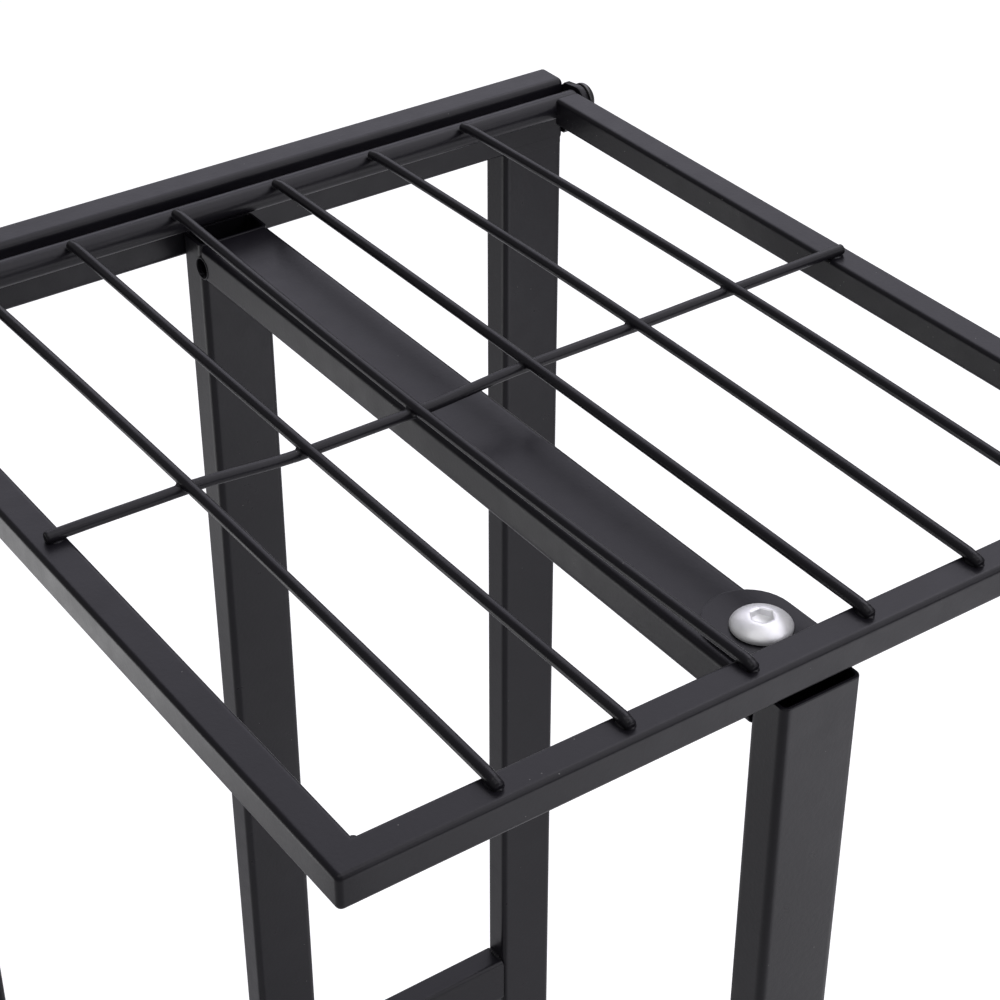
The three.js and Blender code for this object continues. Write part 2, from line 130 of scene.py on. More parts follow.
WIRE_LIFTS = (2.5, -0.4, -0.3, 1.9, 2.0, 2.5)  # how high each long wire springs over the cross wire
WIRE_BOWS = (0.0, -0.6, -2.4, -1.0, 0.95, 0.0)  # and how far it bows to the right there
WIRE_END = 1.1  # rounding on a long wire's cut ends
CROSSING_DEPTH = 2.5  # between the middles of two wires fused at a crossing
WIRE_SINK = (0.5, 1.3)  # how far a shelf wire beds into the front rail and into the rod
TIP_LENGTH = 7.0  # the last stretch of a shelf wire, which dips into its weld
TIP_DIP = 0.9
WELD_R = 1.5
FUSE_VOXEL = 0.3
FUSE_SMOOTHING = 5
CROSSING_LUMP = (2.9, 2.9, 1.7)  # half sizes of the lumps of weld metal
FRONT_LUMP = (2.7, 3.6, 0.9)
ROD_LUMP = (2.3, 2.4, 0.8)
SIDE_LUMP = (3.0, 2.4, 0.8)
BASE_CROSS_LUMP = (2.7, 2.7, 1.2)
BASE_END_LUMP = (3.2, 4.2, 0.9)

FLOOR_GLOW = (0.0, 0.55)  # what the floor gives off as light on the object, and towards the eye
FLOOR_HALF = 12.0  # metres
SKY_GLOW = 0.22  # the backdrop's brightness as light on the object; to the eye it is 1
SOFTBOXES = (  # name, metres from the middle of the rack's top, size, brightness, colour
    ("right_back", (1.42, 2.03, 1.69), (2.6, 2.6), 0.97, (0.97, 0.945, 1.10)),
    ("overhead", (1.45, -0.35, 2.4), (4.2, 2.2), 1.6, (0.99, 0.97, 1.05)),
    ("front", (1.15, -2.0, 0.8), (1.6, 1.2), 1.35, (0.99, 0.97, 1.05)),
    ("zenith", (-0.85, -0.40, 2.4), (1.8, 2.0), 1.0, (1.0, 1.0, 1.0)),
    ("left_low", (-0.55, 0.45, -0.42), (0.6, 0.3), 1.35, (1.0, 1.0, 1.0)),
    ("front_low", (0.42, -0.90, -0.50), (0.8, 0.5), 1.1, (0.98, 0.97, 1.03)),
    ("front_near", (0.42, -0.42, -0.70), (0.2, 0.5), 0.6, (1.0, 1.0, 1.0)),
)


# ---- mesh making --------------------------------------------------------------------------------

def mesh_object(name, points, faces):
    """One object in metres from points in millimetres, with outward faces and soft shading."""
    mesh = bpy.data.meshes.new(name)
    mesh.from_pydata([Vector(p) * MM for p in points], [], faces)
    bm = bmesh.new()
    bm.from_mesh(mesh)
    bmesh.ops.remove_doubles(bm, verts=bm.verts, dist=MERGE * MM)
    bmesh.ops.recalc_face_normals(bm, faces=bm.faces)
    soften(bm)
    bm.to_mesh(mesh)
    bm.free()
    obj = bpy.data.objects.new(name, mesh)
    bpy.context.scene.collection.objects.link(obj)
    return obj


def soften(bm):
    """Shades smoothly except across sharp edges."""
    for face in bm.faces:
        face.smooth = True
    for edge in bm.edges:
        edge.smooth = edge.is_manifold and edge.calc_face_angle(0) < SHARP


def loft(rings, closed=False):
    """Points and faces of a skin over rings of equal length; closed joins the last to the first."""
    count = len(rings[0])
    points = [p for ring in rings for p in ring]
    faces = []
    spans = len(rings) if closed else len(rings) - 1
    for i in range(spans):
        a = i * count
        b = ((i + 1) % len(rings)) * count
        for j in range(count):
            k = (j + 1) % count
            faces.append((a + j, a + k, b + k, b + j))
    if not closed:
        faces.append(tuple(reversed(range(count))))
        faces.append(tuple(range(len(points) - count, len(points))))
    return points, faces


def merged(parts):
    """Several (points, faces) pairs as one."""
    points, faces = [], []
    for more_points, more_faces in parts:
        start = len(points)
        points += more_points
        faces += [tuple(start + i for i in face) for face in more_faces]
    return points, faces


def placed(part, matrix):
    """A part with its points moved by a matrix."""
    points, faces = part
    return [tuple(matrix @ Vector(p)) for p in points], faces


def box_mm(node):
    """A node's lowest and highest corners in millimetres."""
    low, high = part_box(node)
    return low / MM, high / MM


def finish_piece(obj, material, body, slot, *nodes):
    """Gives a piece its material and body, and hides the CAD nodes it stands for; slot is not used."""
    obj.data.materials.clear()
    obj.data.materials.append(material)
    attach(obj, body)
    if nodes:
        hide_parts(*nodes)
    return obj


def applied(obj):
    """The object's mesh with its modifiers applied; the modifiers are then gone."""
    bpy.context.view_layer.update()
    graph = bpy.context.evaluated_depsgraph_get()
    result = bpy.data.meshes.new_from_object(obj.evaluated_get(graph))
    obj.modifiers.clear()
    obj.data = result
    return result


def cut(obj, cutter):
    """Takes the cutter out of the object and keeps the result as the object's mesh."""
    change = obj.modifiers.new("cut", "BOOLEAN")
    change.operation = "DIFFERENCE"
    change.solver = "EXACT"
    change.object = cutter
    result = applied(obj)
    bm = bmesh.new()
    bm.from_mesh(result)
    bmesh.ops.remove_doubles(bm, verts=bm.verts, dist=MERGE * MM)
    soften(bm)
    bm.to_mesh(result)
    bm.free()
    bpy.data.objects.remove(cutter)
    return obj


# ---- sections and rings -------------------------------------------------------------------------

def rounded_rect(width, height, radius):
    """Points round a rounded rectangle, with a support point on each flat beside every corner."""
    radius = max(radius, 0.05)
    points = []
    for quarter in range(4):
        turn = quarter * math.pi / 2
        sx = 1 if quarter in (0, 3) else -1
        sy = 1 if quarter in (0, 1) else -1
        centre = Vector((sx * (width / 2 - radius), sy * (height / 2 - radius)))
        along_in = Vector((math.sin(turn), -math.cos(turn)))
        along_out = Vector((-math.cos(turn), -math.sin(turn)))
        arc = []
        for step in range(CORNER_STEPS + 1):
            angle = turn + step / CORNER_STEPS * math.pi / 2
            arc.append(centre + radius * Vector((math.cos(angle), math.sin(angle))))
        points.append(arc[0] + along_in * SUPPORT)
        points += arc
        points.append(arc[-1] + along_out * SUPPORT)
    return points


AXES = {
    "X": lambda u, v, w: (w, u, v),
    "Y": lambda u, v, w: (u, w, v),
    "Z": lambda u, v, w: (u, v, w),
}


def tube_part(low, high, axis, corner, wall, shut=False, soft=END_SOFTNESS):
    """A tube that fills the box along the axis, with soft ends; it is hollow unless shut."""
    along = "XYZ".index(axis)
    across = [i for i in range(3) if i != along]
    wide = high[across[0]] - low[across[0]]
    tall = high[across[1]] - low[across[1]]
    middle = [(high[i] + low[i]) / 2 for i in across]
    start, end = low[along], high[along]
    arc = [math.pi / 2 * k / 5 for k in range(6)]

    def ring(inset, w):
        outline = rounded_rect(wide - 2 * inset, tall - 2 * inset, corner - inset)
        return [AXES[axis](p.x + middle[0], p.y + middle[1], w) for p in outline]

    outer = [ring(soft * (1 - math.sin(a)), start + soft * (1 - math.cos(a))) for a in arc]
    outer.append(ring(0, start + soft + SUPPORT))
    outer.append(ring(0, end - soft - SUPPORT))
    outer += [ring(soft * (1 - math.sin(a)), end - soft * (1 - math.cos(a))) for a in reversed(arc)]
    if shut:
        return loft(outer)
    mouths = [ring(wall - soft, end), ring(wall, end - soft)]
    mouths += [ring(wall, start + soft), ring(wall - soft, start)]
    return loft(outer + mouths, closed=True)


def circle(radius, z, count=ROUND, shape=None):
    """A ring about +Z; shape(angle) may limit the radius, as a hexagon does."""
    points = []
    for k in range(count):
        angle = 2 * math.pi * k / count
        r = radius if shape is None else min(radius, shape(angle))
        points.append((r * math.cos(angle), r * math.sin(angle), z))
    return points


def hexagon(flats):
    """The radius of a hexagon at an angle, for its size across the flats."""
    sector = math.pi / 3

    def radius(angle):
        return flats / 2 / math.cos(angle % sector - sector / 2)
    return radius


def along_x(sign):
    """Turns +Z to +X or -X."""
    return Matrix.Rotation(sign * math.pi / 2, 4, "Y")


def sweep(path, radii, sides=14):
    """A round bar along a path, with one radius at each point."""
    rings = []
    side = None
    for i, point in enumerate(path):
        ahead = path[min(i + 1, len(path) - 1)]
        behind = path[max(i - 1, 0)]
        forward = (ahead - behind).normalized()
        if side is None:
            side = forward.orthogonal().normalized()
        side = (side - forward * side.dot(forward)).normalized()
        up = forward.cross(side)
        ring = []
        for k in range(sides):
            angle = 2 * math.pi * k / sides
            ring.append(tuple(point + radii[i] * (math.cos(angle) * side + math.sin(angle) * up)))
        rings.append(ring)
    return loft(rings)


def round_bar(path, radius, end=0.6, sides=16):
    """A wire along a path whose cut ends are rounded over a length of end."""
    steps = 4
    first = (path[1] - path[0]).normalized()
    last = (path[-1] - path[-2]).normalized()
    points, radii = [], []
    for k in range(steps):
        angle = math.pi / 2 * k / steps
        points.append(path[0] + first * end * (1 - math.cos(angle)))
        radii.append(radius - end + end * math.sin(angle))
    points += [path[0] + first * end, *path[1:-1], path[-1] - last * end]
    radii += [radius] * len(path)
    for k in reversed(range(steps)):
        angle = math.pi / 2 * k / steps
        points.append(path[-1] - last * end * (1 - math.cos(angle)))
        radii.append(radius - end + end * math.sin(angle))
    return sweep(points, radii, sides)


def nugget(centre, size, seed):
    """A lump of weld metal: a slightly uneven ellipsoid of the given half sizes."""
    rows, count = 7, 12
    unevenness = 0.16
    rings = []
    for i in range(rows + 1):
        tilt = math.pi * (i + 0.15) / (rows + 0.3)
        ring = []
        for k in range(count):
            turn = 2 * math.pi * k / count
            way = Vector((math.sin(tilt) * math.cos(turn), math.sin(tilt) * math.sin(turn),
                          math.cos(tilt)))
            swell = 1 + unevenness * noise.noise(way * 1.7 + Vector((seed, 0.3 * seed, 0)))
            ring.append((centre[0] + size[0] * swell * way.x, centre[1] + size[1] * swell * way.y,
                         centre[2] + size[2] * swell * way.z))
        rings.append(ring)
    return loft(rings)


def bead(start, end, radius, seed):
    """A weld bead from start to end, with the ripples of a hand-run weld."""
    start, end = Vector(start), Vector(end)
    length = (end - start).length
    spacing, ripple_pitch = 0.45, 1.6
    count = max(6, int(length / spacing))
    points, radii = [], []
    for i in range(count + 1):
        share = i / count
        point = start.lerp(end, share)
        ripple = 0.10 * math.sin(share * length * 2 * math.pi / ripple_pitch)
        wander = 0.16 * noise.noise(point * 0.4 + Vector((seed, 0, 0)))
        taper = min(1, 0.35 + 2.2 * min(share, 1 - share))
        points.append(point)
        radii.append(radius * taper * (1 + ripple + wander))
    return sweep(points, radii, 10)


# ---- materials ----------------------------------------------------------------------------------

def new_material(name, roughness, metallic, specular=0.5):
    material = bpy.data.materials.new(name)
    material.use_nodes = True
    shader = material.node_tree.nodes["Principled BSDF"]
    shader.inputs["Roughness"].default_value = roughness
    shader.inputs["Metallic"].default_value = metallic
    shader.inputs["Specular IOR Level"].default_value = specular
    return material, shader


def position(material):
    """The point on the piece, in metres of its own frame."""
    return material.node_tree.nodes.new("ShaderNodeTexCoord").outputs["Object"]


def noise_texture(material, scale, detail=2.0, roughness=0.5):
    """Cloudy noise from 0 to 1, with about scale lumps to the metre."""
    tree = material.node_tree
    texture = tree.nodes.new("ShaderNodeTexNoise")
    texture.inputs["Scale"].default_value = scale
    texture.inputs["Detail"].default_value = detail
    texture.inputs["Roughness"].default_value = roughness
    tree.links.new(position(material), texture.inputs["Vector"])
    return texture.outputs["Fac"]


def ramp(material, value, stops):
    """A colour ramp over (place, colour) stops."""
    tree = material.node_tree
    node = tree.nodes.new("ShaderNodeValToRGB")
    elements = node.color_ramp.elements
    elements[0].position, elements[0].color = stops[0][0], (*stops[0][1], 1)
    elements[1].position, elements[1].color = stops[-1][0], (*stops[-1][1], 1)
    for place, colour in stops[1:-1]:
        elements.new(place).color = (*colour, 1)
    tree.links.new(value, node.inputs["Fac"])
    return node.outputs["Color"]


def spread(material, value, low, high, socket):
    """Maps a 0 to 1 value to low to high and feeds a socket of the shader."""
    tree = material.node_tree
    node = tree.nodes.new("ShaderNodeMapRange")
    node.inputs["From Min"].default_value = 0.25
    node.inputs["From Max"].default_value = 0.75
    node.inputs["To Min"].default_value = low
    node.inputs["To Max"].default_value = high
    tree.links.new(value, node.inputs["Value"])
    tree.links.new(node.outputs["Result"], socket)


def bump(material, value, distance, strength, below=None):
    """A normal raised by a value, over the normal of a coarser bump below it."""
    tree = material.node_tree
    node = tree.nodes.new("ShaderNodeBump")
    node.inputs["Distance"].default_value = distance
    node.inputs["Strength"].default_value = strength
    tree.links.new(value, node.inputs["Height"])
    if below is not None:
        tree.links.new(below, node.inputs["Normal"])
    return node.outputs["Normal"]


def mixed(material, factor, low, high):
    """The low colour where the factor is 0, and the high colour where it is 1."""
    tree = material.node_tree
    node = tree.nodes.new("ShaderNodeMix")
    node.data_type = "RGBA"
    tree.links.new(factor, node.inputs["Factor"])
    tree.links.new(low, node.inputs["A"])
    tree.links.new(high, node.inputs["B"])
    return node.outputs["Result"]


def speckles(material, scale, size, share):
    """1 on specks in a share of the cells and 0 elsewhere."""
    tree = material.node_tree
    cells = tree.nodes.new("ShaderNodeTexVoronoi")
    cells.inputs["Scale"].default_value = scale
    tree.links.new(position(material), cells.inputs["Vector"])
    near = tree.nodes.new("ShaderNodeMath")
    near.operation = "LESS_THAN"
    near.inputs[1].default_value = size
    tree.links.new(cells.outputs["Distance"], near.inputs[0])
    few = tree.nodes.new("ShaderNodeMath")
    few.operation = "LESS_THAN"
    few.inputs[1].default_value = share
    part = tree.nodes.new("ShaderNodeSeparateColor")
    tree.links.new(cells.outputs["Color"], part.inputs["Color"])
    tree.links.new(part.outputs["Red"], few.inputs[0])
    both = tree.nodes.new("ShaderNodeMath")
    both.operation = "MULTIPLY"
    tree.links.new(near.outputs["Value"], both.inputs[0])
    tree.links.new(few.outputs["Value"], both.inputs[1])
    return both.outputs["Value"]


def powder_coat():
    """Satin black powder coat: faint cloudy tone, orange peel, fine grain and a little dust."""
    material, shader = new_material("powder_coat_black", 0.31, 0.0, 0.25)
    tree = material.node_tree
    clouds = noise_texture(material, scale=34, detail=4.0, roughness=0.6)
    tone = ramp(material, clouds, [(0.3, (0.0088, 0.0081, 0.0110)), (0.7, (0.0112, 0.0104, 0.0138))])
    dust = ramp(material, noise_texture(material, scale=900),
                [(0.0, (0.07, 0.07, 0.07)), (1.0, (0.16, 0.16, 0.155))])
    colour = mixed(material, speckles(material, scale=260, size=0.055, share=0.12), tone, dust)
    tree.links.new(colour, shader.inputs["Base Color"])
    patches = noise_texture(material, scale=120, detail=3.0)
    spread(material, patches, 0.27, 0.35, shader.inputs["Roughness"])
    peel = bump(material, noise_texture(material, scale=620), distance=0.00006, strength=0.55)
    grain = bump(material, noise_texture(material, scale=3400), distance=0.00002, strength=0.5,
                 below=peel)
    tree.links.new(grain, shader.inputs["Normal"])
    return material


def plain_finish(name, roughness, metallic, specular, tone, patches, grain):
    """A finish with a mottled tone, patches of gloss and a fine grain.

    tone is (scale, detail, noise roughness, dark colour, light colour), patches is (scale, detail,
    low roughness, high roughness) and grain is (scale, detail, distance, strength).
    """
    material, shader = new_material(name, roughness, metallic, specular)
    tree = material.node_tree
    scale, detail, rough, dark, light = tone
    colour = ramp(material, noise_texture(material, scale, detail, rough), [(0.3, dark), (0.7, light)])
    tree.links.new(colour, shader.inputs["Base Color"])
    scale, detail, low, high = patches
    spread(material, noise_texture(material, scale, detail), low, high, shader.inputs["Roughness"])
    scale, detail, distance, strength = grain
    normal = bump(material, noise_texture(material, scale, detail), distance, strength)
    tree.links.new(normal, shader.inputs["Normal"])
    return material


def zinc_plate():
    """Bright zinc: pale metal with faint mottling and a slightly milky shine."""
    return plain_finish("zinc_bright", 0.40, 0.55, 0.5,
                        tone=(260, 4.0, 0.6, (0.88, 0.88, 0.90), (0.95, 0.95, 0.95)),
                        patches=(500, 3.0, 0.36, 0.46), grain=(1500, 3.0, 0.00002, 0.35))


def black_fastener():
    """Black-finished steel fastener, glossier than the frame."""
    return plain_finish("black_fastener", 0.27, 0.0, 0.7,
                        tone=(300, 3.0, 0.5, (0.010, 0.010, 0.011), (0.022, 0.022, 0.024)),
                        patches=(700, 2.0, 0.22, 0.34), grain=(1800, 2.0, 0.00002, 0.4))


def moulded_plastic():
    """Matte black moulded plastic with a fine eroded texture."""
    return plain_finish("black_plastic", 0.58, 0.0, 0.4,
                        tone=(150, 3.0, 0.5, (0.014, 0.014, 0.014), (0.022, 0.022, 0.021)),
                        patches=(400, 2.0, 0.50, 0.66), grain=(2400, 3.0, 0.00005, 0.6))


COAT = powder_coat()
ZINC = zinc_plate()
BLACK = black_fastener()
PLASTIC = moulded_plastic()


def coated(name, part, body, *nodes):
    """A powder-coated piece made from a part."""
    return finish_piece(mesh_object(name, *part), COAT, body, "powder_coat", *nodes)


# ---- places read from the frame -----------------------------------------------------------------

RAIL_LOW = box_mm("rear_rail_end_left")[0]
RAIL_HIGH = box_mm("rear_rail_end_right")[1]
CENTRE_POST_LOW, CENTRE_POST_HIGH = box_mm("centre_rear_post")
ROD_LOW, ROD_HIGH = box_mm("hinge_rod")
WIRE_LOW, WIRE_HIGH = box_mm("shelf_wire_1")
SHELF_LEFT_LOW = box_mm("shelf_left_rail")[0]
SHELF_RIGHT_LOW, SHELF_RIGHT_HIGH = box_mm("shelf_right_rail")
SHELF_FRONT_LOW, SHELF_FRONT_HIGH = box_mm("shelf_front_rail")
ROD_R = (ROD_HIGH.z - ROD_LOW.z) / 2
WIRE_R = (WIRE_HIGH.z - WIRE_LOW.z) / 2
WIRE_Z = (WIRE_HIGH.z + WIRE_LOW.z) / 2
CROSS_LOW, CROSS_HIGH = box_mm("shelf_cross_wire")
CROSS_Y = (CROSS_LOW.y + CROSS_HIGH.y) / 2
SHELF_TUBE = SHELF_FRONT_HIGH.z - SHELF_FRONT_LOW.z
SHELF_Z = (SHELF_FRONT_HIGH.z + SHELF_FRONT_LOW.z) / 2
SHELF_WIRES = [f"shelf_wire_{i}" for i in range(1, 7)]
BASE_WIRES = [f"base_wire_{i}" for i in range(1, 7)]


# ---- the frame's tubes --------------------------------------------------------------------------

def frame_tube(node, axis, grow=(0, 0)):
    """The frame tube of a node; grow lengthens its start and end over the seams."""
    low, high = box_mm(node)
    along = "XYZ".index(axis)
    low[along] -= grow[0]
    high[along] += grow[1]
    part = tube_part(low, high, axis, FRAME_CORNER, FRAME_WALL)
    return coated(f"{node}_tube", part, "rack", node)


def top_rail():
    """The rear top rail with its end plates welded in and ground round."""
    part = tube_part(RAIL_LOW, RAIL_HIGH, "X", FRAME_CORNER, FRAME_WALL, shut=True, soft=GROUND_END)
    return coated("rear_top_rail_tube", part, "rack", "rear_top_rail", "rear_rail_end_left",
                  "rear_rail_end_right")


def ground_joint(side):
    """Weld metal ground flush in the groove between the top rail and a rear post."""
    low, high = box_mm(f"rear_post_{side}")
    below, above = GROOVE_REACH
    parts = []
    for out, face in ((-1, low.y), (1, high.y)):
        ends = sorted((face + out * GROOVE_PROUD, face - out * FRAME_CORNER))
        start = Vector((low.x + GROOVE_INSET, ends[0], RAIL_LOW.z - below))
        finish = Vector((high.x - GROOVE_INSET, ends[1], RAIL_LOW.z + above))
        parts.append(tube_part(start, finish, "X", 0.1, 0, shut=True, soft=0.1))
    return coated(f"rear_post_{side}_joint", merged(parts), "rack")


def cylinder_cutter(radius, length, axis, centre):
    """A round cutter along X or Z, centred on a point."""
    part = loft([circle(radius, -length / 2, 40), circle(radius, length / 2, 40)])
    turn = along_x(1) if axis == "X" else Matrix.Identity(4)
    return mesh_object("cutter", *placed(part, Matrix.Translation(centre) @ turn))


def vent_centre():
    """The middle of the coating hole in the left walls, where the beam meets the rear post."""
    return Vector((CENTRE_POST_LOW.x, CENTRE_POST_LOW.y, CENTRE_POST_HIGH.z - VENT_HOLE_DROP))


def vent_cutter():
    """The cutter for that hole, which goes through both the post's and the beam's left wall."""
    return cylinder_cutter(VENT_HOLE_R, 14, "X", vent_centre())


def vent_rim():
    """The coating's thick edge round the vent hole."""
    centre = vent_centre() + Vector((0.05, 0, 0))
    steps, sides = 40, 10
    rings = []
    for k in range(steps):
        turn = 2 * math.pi * k / steps
        out = Vector((0, math.cos(turn), math.sin(turn)))
        ring = []
        for i in range(sides):
            angle = 2 * math.pi * i / sides
            reach = VENT_HOLE_R + 0.15 + VENT_RIM_R * math.cos(angle)
            proud = Vector((VENT_RIM_R * math.sin(angle), 0, 0))
            ring.append(tuple(centre + reach * out + proud))
        rings.append(ring)
    return coated("vent_hole_rim", loft(rings, closed=True), "rack")


def rear_frame():
    for side in ("left", "right"):
        frame_tube(f"rear_post_{side}", "Z", (0, SEAM))
        ground_joint(side)
    top_rail()
    for level in ("mid", "bottom"):
        frame_tube(f"rear_{level}_rail", "X", (SEAM, SEAM))


def centre_frame():
    post = frame_tube("centre_rear_post", "Z")
    cut(post, vent_cutter())
    frame_tube("front_post", "Z")
    beam = frame_tube("top_beam", "Y", (SEAM, SEAM))
    cut(beam, vent_cutter())
    vent_rim()
    frame_tube("bottom_beam", "Y", (SEAM, SEAM))


def base_frame():
    for side in ("left", "right"):
        frame_tube(f"front_leg_{side}", "Z")
        frame_tube(f"base_side_{side}", "Y", (SEAM, SEAM))
        frame_tube(f"base_front_{side}", "X", (SEAM, SEAM))


# ---- wires --------------------------------------------------------------------------------------

def wire_middle(node):
    """The x and z of a long wire's middle line."""
    low, high = box_mm(node)
    return (low.x + high.x) / 2, (low.z + high.z) / 2


def long_wire(node, body, sink, lift=0.0, bow=0.0, dip=0.0):
    """A wire along Y, let down by sink at its front and rear ends, that arches up and sideways.

    Its tips dip into their welds.
    """
    low, high = box_mm(node)
    x, z = wire_middle(node)
    steps = 60
    path = []
    for k in range(steps + 1):
        share = k / steps
        arch = math.sin(math.pi * share)
        y = low.y + share * (high.y - low.y)
        near_tip = max(0.0, 1 - min(y - low.y, high.y - y) / TIP_LENGTH)
        down = sink[0] + share * (sink[1] - sink[0]) + dip * near_tip ** 2
        path.append(Vector((x + bow * arch, y, z - down + lift * arch)))
    return coated(f"{node}_bar", round_bar(path, (high.z - low.z) / 2, WIRE_END), body, node)


def fused(name, parts, body):
    """Overlapping closed parts grown into one skin with filleted joints."""
    obj = mesh_object(name, *merged(parts))
    grow = obj.modifiers.new("grow", "REMESH")
    grow.mode = "VOXEL"
    grow.voxel_size = FUSE_VOXEL * MM
    calm = obj.modifiers.new("calm", "SMOOTH")
    calm.factor = 0.5
    calm.iterations = FUSE_SMOOTHING
    for polygon in applied(obj).polygons:
        polygon.use_smooth = True
    return finish_piece(obj, COAT, body, "powder_coat")


def shelf_crossings():
    """The middle of each long wire where it passes over the cross wire."""
    share = (CROSS_Y - WIRE_LOW.y) / (WIRE_HIGH.y - WIRE_LOW.y)
    sink = WIRE_SINK[0] + share * (WIRE_SINK[1] - WIRE_SINK[0])
    places = []
    for node, lift, bow in zip(SHELF_WIRES, WIRE_LIFTS, WIRE_BOWS):
        x, z = wire_middle(node)
        places.append(Vector((x + bow, CROSS_Y, z - sink + lift)))
    return places


def shelf_cross_wire():
    """The wire under the long ones, level on the side rails and bent to meet each crossing."""
    rest = WIRE_Z - WIRE_SINK[0]
    edge = SHELF_RIGHT_LOW.x
    knots = [(CROSS_LOW.x, rest), (-edge, rest)]
    knots += [(place.x, place.z - CROSSING_DEPTH) for place in shelf_crossings()]
    knots += [(edge, rest), (CROSS_HIGH.x, rest)]
    steps = 8
    path = [Vector((knots[0][0], CROSS_Y, knots[0][1]))]
    for (from_x, from_z), (to_x, to_z) in zip(knots, knots[1:]):
        for k in range(1, steps + 1):
            share = k / steps
            ease = share * share * (3 - 2 * share)
            x = from_x + share * (to_x - from_x)
            z = from_z + ease * (to_z - from_z)
            path.append(Vector((x, CROSS_Y, z)))
    return coated("shelf_cross_wire_bar", round_bar(path, WIRE_R), "shelf", "shelf_cross_wire")


def sleeve(middle, way, half):
    """A short skin round a shelf wire that fades into it at both ends."""
    stations = ((-1, -0.35), (-0.92, -0.04), (-0.5, 0.03), (0, 0.05), (0.5, 0.03), (0.92, -0.04),
                (1, -0.35))  # share of the half length, and what is added to the wire's radius
    path = [middle + way * (half * share) for share, _ in stations]
    return sweep(path, [WIRE_R + more for _, more in stations], 20)


def crossing_weld(number, middle):
    """Both wires melted into each other, with metal in the four corners."""
    half = 5.0
    under = middle - Vector((0, 0, CROSSING_DEPTH))
    between = middle - Vector((0, 0, CROSSING_DEPTH / 2))
    parts = [sleeve(middle, Vector((0, 1, 0)), half), sleeve(under, Vector((1, 0, 0)), half),
             nugget(between, CROSSING_LUMP, number)]
    fused(f"shelf_crossing_weld_{number}", parts, "shelf")


def front_weld(number, node):
    """The low weld that holds a long wire's front tip on the front rail."""
    low = box_mm(node)[0]
    x, z = wire_middle(node)
    down = z - WIRE_SINK[0]
    stations = ((0.7, -0.9), (1.2, -0.3), (2.5, 0.03), (4.0, 0.05), (5.5, 0), (6.8, -0.4))
    path = []
    for y, _ in stations:
        path.append(Vector((x, low.y + y, down - TIP_DIP * (1 - y / TIP_LENGTH) ** 2)))
    wire = sweep(path, [WIRE_R + more for _, more in stations], 20)
    lump = nugget((x + 0.2, low.y + 3.0, SHELF_FRONT_HIGH.z + 0.1), FRONT_LUMP, number)
    fused(f"shelf_front_weld_{number}", [wire, lump], "shelf")


def shelf_end_welds():
    """The low welds that hold the long wires on the rod and the cross wire on the side rails."""
    parts = []
    for i, node in enumerate(SHELF_WIRES):
        rear = box_mm(node)[1].y
        place = (wire_middle(node)[0], rear - 2.2, ROD_HIGH.z - 0.5)
        parts.append(nugget(place, ROD_LUMP, 20 + i))
    for sign in (-1, 1):
        place = (sign * (CROSS_HIGH.x - 3.4), CROSS_Y, SHELF_FRONT_HIGH.z)
        parts.append(nugget(place, SIDE_LUMP, 30 + sign))
    return coated("shelf_wire_welds", merged(parts), "shelf")


def shelf_wires():
    for node, lift, bow in zip(SHELF_WIRES, WIRE_LIFTS, WIRE_BOWS):
        long_wire(node, "shelf", WIRE_SINK, lift, bow, TIP_DIP)
    shelf_cross_wire()
    for number, place in enumerate(shelf_crossings(), 1):
        crossing_weld(number, place)
    for number, node in enumerate(SHELF_WIRES, 1):
        front_weld(number, node)
    shelf_end_welds()


def base_wires():
    """The grid that the logs lie on, with its welds."""
    for node in BASE_WIRES:
        long_wire(node, "rack", (SEAM, SEAM))
    low, high = box_mm("base_cross_wire")
    y, z = (low.y + high.y) / 2, (low.z + high.z) / 2
    path = [Vector((low.x + share * (high.x - low.x), y, z)) for share in (0, 0.25, 0.5, 0.75, 1)]
    coated("base_cross_wire_bar", round_bar(path, (high.z - low.z) / 2), "rack", "base_cross_wire")
    parts = []
    for i, node in enumerate(BASE_WIRES):
        wire_low, wire_high = box_mm(node)
        x = wire_middle(node)[0]
        rest = wire_low.z - SEAM
        parts.append(nugget((x, y, rest), BASE_CROSS_LUMP, 40 + i))
        parts.append(nugget((x, wire_low.y + 5, rest), BASE_END_LUMP, 50 + i))
        parts.append(nugget((x, wire_high.y - 5, rest), BASE_END_LUMP, 60 + i))
    coated("base_wire_welds", merged(parts), "rack")


# ---- shelf frame --------------------------------------------------------------------------------

WEST, EAST = Vector((-1, 0, 0)), Vector((1, 0, 0))
SOUTH, NORTH = Vector((0, -1, 0)), Vector((0, 1, 0))
SHELF_OUTLINE = rounded_rect(SHELF_TUBE, SHELF_TUBE, SHELF_CORNER)


def rail_section(at, out):
    """The shelf tube's section at a point of its inner edge line; out points to its outer side."""
    return [tuple(at + out * (p.x + SHELF_TUBE / 2) + Vector((0, 0, p.y))) for p in SHELF_OUTLINE]


def rail_corner(inner, first, second):
    """Sections that turn a shelf corner, sharp inside and slightly rounded outside."""
    rings = []
    knee = SHELF_TUBE - SHELF_NOSE
    steps = 4
    for k in range(steps + 1):
        angle = math.pi / 2 * k / steps
        way = first * math.cos(angle) + second * math.sin(angle)
        ring = []
        for p in SHELF_OUTLINE:
            out = p.x + SHELF_TUBE / 2
            near = min(out, knee) * (first + second)
            far = max(out - knee, 0) * way
            ring.append(tuple(inner + near + far + Vector((0, 0, p.y))))
        rings.append(ring)
    return rings


def corner_fillet(inner, sign):
    """Weld metal in an inner corner of the shelf."""
    place = inner + Vector((SHELF_FILLET_IN * sign, SHELF_FILLET_IN, 0))
    half = Vector((0, 0, SHELF_TUBE / 2 - SHELF_CORNER))
    return sweep([place - half, place + half], [SHELF_FILLET_R, SHELF_FILLET_R])


